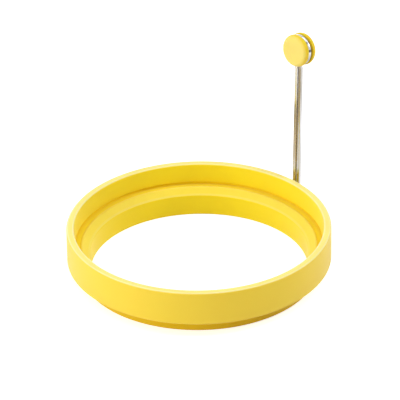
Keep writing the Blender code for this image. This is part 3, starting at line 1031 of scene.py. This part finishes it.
def make_floor(studio):
    """Large round floor that reads white and keeps the shadow."""
    mesh = bpy.data.meshes.new("floor")
    shape = bmesh.new()
    bmesh.ops.create_circle(shape, cap_ends=True, segments=96, radius=studio.floor_radius)
    shape.to_mesh(mesh)
    shape.free()
    floor = link("floor", mesh)
    material, kit, shader = new_material("studio_floor")
    place = kit.add("ShaderNodeTexCoord").outputs["Object"]
    paper = kit.between(kit.noise(place, scale=40.0, detail=3.0), *CLOUD_SPAN)
    tones = (tinted(studio.floor_colour, tone) for tone in PAPER_TONES)
    kit.feed(
        shader, Base_Color=kit.blend(paper, *tones), Roughness=0.9, Specular_IOR_Level=0.1,
        Emission_Color=WHITE, Emission_Strength=kit.times(direct_share(kit), FLOOR_LIFT),
    )
    mesh.materials.append(material)


def make_world(studio):
    """White to the camera and in reflections, and a soft grey as a light."""
    world = bpy.data.worlds.new("studio")
    world.use_nodes = True
    bpy.context.scene.world = world
    kit = NodeKit(world.node_tree)
    seen = kit.times(direct_share(kit), 1.0 - studio.ambient)
    background = world.node_tree.nodes["Background"]
    kit.feed(background, Color=WHITE, Strength=kit.total(seen, studio.ambient))


def make_softbox(name, studio):
    """Square area lamp aimed at the object."""
    lamp = bpy.data.lights.new(f"{name}_softbox", "AREA")
    lamp.size = studio.softbox_side
    lamp.energy = getattr(studio, f"{name}_power")
    turn, rise = (math.radians(degrees) for degrees in SOFTBOXES[name])
    flat = math.cos(rise)
    away = Vector((math.cos(turn) * flat, math.sin(turn) * flat, math.sin(rise)))
    obj = link(lamp.name, lamp)
    obj.location = away * studio.lamp_distance + LAMP_TARGET
    obj.rotation_euler = away.to_track_quat("Z", "Y").to_euler()
    obj.visible_camera = False


def make_camera(studio):
    """Long lens at the photograph's angle."""
    data = bpy.data.cameras.new("camera")
    data.sensor_width = SENSOR_MILLIMETRES
    data.lens = studio.focal_pixels / IMAGE_SIDE * SENSOR_MILLIMETRES
    data.clip_start = 0.05
    camera = link("camera", data)
    aim = Matrix.Rotation(math.pi / 2 - studio.camera_elevation, 4, "X")
    shift = Matrix.Translation((CAMERA_RIGHT, CAMERA_UP, studio.camera_distance))
    camera.matrix_world = aim @ shift @ Matrix.Rotation(-studio.camera_roll, 4, "Z")
    bpy.context.scene.camera = camera


# Operators

class EGGRING_OT_ring(Operator):
    """Make the silicone ring with its hinge lug"""

    bl_idname = "eggring.make_ring"
    bl_label = "Silicone Ring"

    def execute(self, context):
        settings = context.scene.egg_ring
        ring, finish = settings.ring, settings.finish
        material = silicone_material(
            "satin_ring_silicone", finish.ring_colour, finish, finish.ring_bloom, (0, 0, 1),
            RING_GLOW, ring,
        )
        body = grown("moulded_ring", ring_tree(ring), ring, material)
        close_check(body)
        hinge_lug = link("lug", lug_mesh(ring, settings.lug))
        close_check(hinge_lug)
        union = body.modifiers.new("Lug", "BOOLEAN")
        union.operation = "UNION"
        union.solver = "EXACT"
        union.object = hinge_lug
        body = plain_mesh(body, "moulded_ring")
        bpy.data.objects.remove(hinge_lug, do_unlink=True)
        finish_mesh(body, SILICONE_CREASE)
        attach(body, "ring")
        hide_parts("silicone_ring")
        return {"FINISHED"}


class EGGRING_OT_handle(Operator):
    """Bend the wire handle"""

    bl_idname = "eggring.make_handle"
    bl_label = "Wire Handle"

    def execute(self, context):
        settings = context.scene.egg_ring
        handle = settings.handle
        curve = bpy.data.curves.new("bent_wire", "CURVE")
        curve.dimensions = "3D"
        points = wire_line(handle)
        spline = curve.splines.new("POLY")
        spline.points.add(len(points) - 1)
        place = handle_matrix(handle)
        for point, (across, up) in zip(spline.points, points):
            point.co = (*(place @ set_back(handle, across, up)), 1)
        material = steel_material(settings.finish, handle.wire_radius)
        wire = grown("bent_wire", wire_tree(handle), handle, material, curve)
        finish_mesh(wire, WIRE_CREASE)
        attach(wire, "handle")
        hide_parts("handle_wire")
        return {"FINISHED"}


def leg_top(handle):
    """Height above the pin where the legs end and the neck begins."""
    leg = handle.wire_radius + handle.leg_gap / 2
    reach = handle.loop_radius + handle.neck_bend
    return handle.height - math.sqrt(reach ** 2 - (leg + handle.neck_bend) ** 2)


def set_back(handle, across, up):
    """Place of a point of the flat wire once its loop is tilted back about its middle."""
    share = np.clip((up - leg_top(handle)) / handle.tilt_span + 0.5, 0, 1)
    tilt = handle.tilt * share * share * (3 - 2 * share)
    rise = up - handle.height
    return Vector((across, rise * math.sin(tilt), handle.height + rise * math.cos(tilt)))


def wire_line(handle):
    """Flat centre line of the wire: toe, leg, half of the loop, and back."""
    bend, neck = handle.toe_bend, handle.neck_bend
    leg = handle.wire_radius + handle.leg_gap / 2
    toe_start = leg + bend
    half = [(-toe_start - handle.toe_length, 0.0)]
    half += arc((-toe_start, bend), bend, -math.pi / 2, 0.0, handle.bend_steps)
    top = leg_top(handle)
    rises = np.linspace(top - handle.tilt_span / 2, top, handle.bend_steps, endpoint=False)
    half += [(-leg, up) for up in rises]
    lean_in = math.atan2(handle.height - top, leg + neck)
    half += arc((-leg - neck, top), neck, 0.0, lean_in, handle.bend_steps)
    start, end = lean_in - math.pi, -math.pi * 3 / 2
    half += arc((0.0, handle.height), handle.loop_radius, start, end, handle.loop_steps)[1:]
    return half + [(-across, up) for across, up in reversed(half[:-1])]


def arc(centre, radius, start, end, steps):
    """Points on an arc, both ends included."""
    angles = np.linspace(start, end, steps + 1)
    return [(centre[0] + radius * math.cos(a), centre[1] + radius * math.sin(a)) for a in angles]


class EGGRING_OT_knob(Operator):
    """Turn the knob's two caps"""

    bl_idname = "eggring.make_knob"
    bl_label = "Round Knob"

    def execute(self, context):
        settings = context.scene.egg_ring
        knob, handle, finish = settings.knob, settings.handle, settings.finish
        stub = cap_tree("Front cap", knob, STUB_SIZES, stub_corners)
        hub = cap_tree("Rear cap", knob, HUB_SIZES, hub_corners)
        centre = handle_matrix(handle) @ Matrix.Translation((0, 0, handle.height))
        centre = centre @ Matrix.Rotation(-handle.tilt, 4, "X")
        caps = (
            ("knob_front", stub, math.pi / 2, "knob_front_cap"),
            ("knob_rear", hub, -math.pi / 2, "knob_rear_cap"),
        )
        for name, tree, turn, node in caps:
            place = centre @ Matrix.Rotation(turn, 4, "X")
            material = silicone_material(
                f"satin_{name}_silicone", finish.knob_colour, finish, finish.knob_bloom,
                place.to_3x3() @ Vector((0, 0, 1)), KNOB_GLOW,
            )
            cap = grown(name, tree, knob, material)
            cap.data.transform(place)
            finish_mesh(cap, SILICONE_CREASE)
            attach(cap, "handle")
            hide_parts(node)
        return {"FINISHED"}


class EGGRING_OT_stage(Operator):
    """Make the floor, the lamps and the camera"""

    bl_idname = "eggring.make_stage"
    bl_label = "Studio"

    def execute(self, context):
        studio = context.scene.egg_ring.studio
        make_floor(studio)
        make_world(studio)
        for name in SOFTBOXES:
            make_softbox(name, studio)
        make_camera(studio)
        context.scene.view_settings.view_transform = "Standard"
        return {"FINISHED"}


class EGGRING_PT_panel(Panel):
    """Lists the steps that build the egg ring"""

    bl_idname = "EGGRING_PT_panel"
    bl_label = "Egg Ring"
    bl_space_type = "VIEW_3D"
    bl_region_type = "UI"
    bl_category = "Egg Ring"

    def draw(self, context):
        settings = context.scene.egg_ring
        for step in STEPS:
            self.layout.operator(step.bl_idname)
        for name in settings.__annotations__:
            group = getattr(settings, name)
            box = self.layout.box()
            box.label(text=name.title())
            for key in group.__annotations__:
                box.prop(group, key)


STEPS = (EGGRING_OT_ring, EGGRING_OT_handle, EGGRING_OT_knob, EGGRING_OT_stage)
GROUPS = (RingSizes, LugSizes, HandleSizes, KnobSizes, Finishes, StudioLook, EggRingSettings)
CLASSES = (*GROUPS, *STEPS, EGGRING_PT_panel)


def register():
    """Register the classes and the scene's settings."""
    for cls in CLASSES:
        bpy.utils.register_class(cls)
    bpy.types.Scene.egg_ring = PointerProperty(type=EggRingSettings)


def unregister():
    """Take back what register does."""
    del bpy.types.Scene.egg_ring
    for cls in reversed(CLASSES):
        bpy.utils.unregister_class(cls)


def main():
    register()
    bpy.ops.eggring.make_ring()
    bpy.ops.eggring.make_handle()
    bpy.ops.eggring.make_knob()
    bpy.ops.eggring.make_stage()


if __name__ == "__main__":
    main()
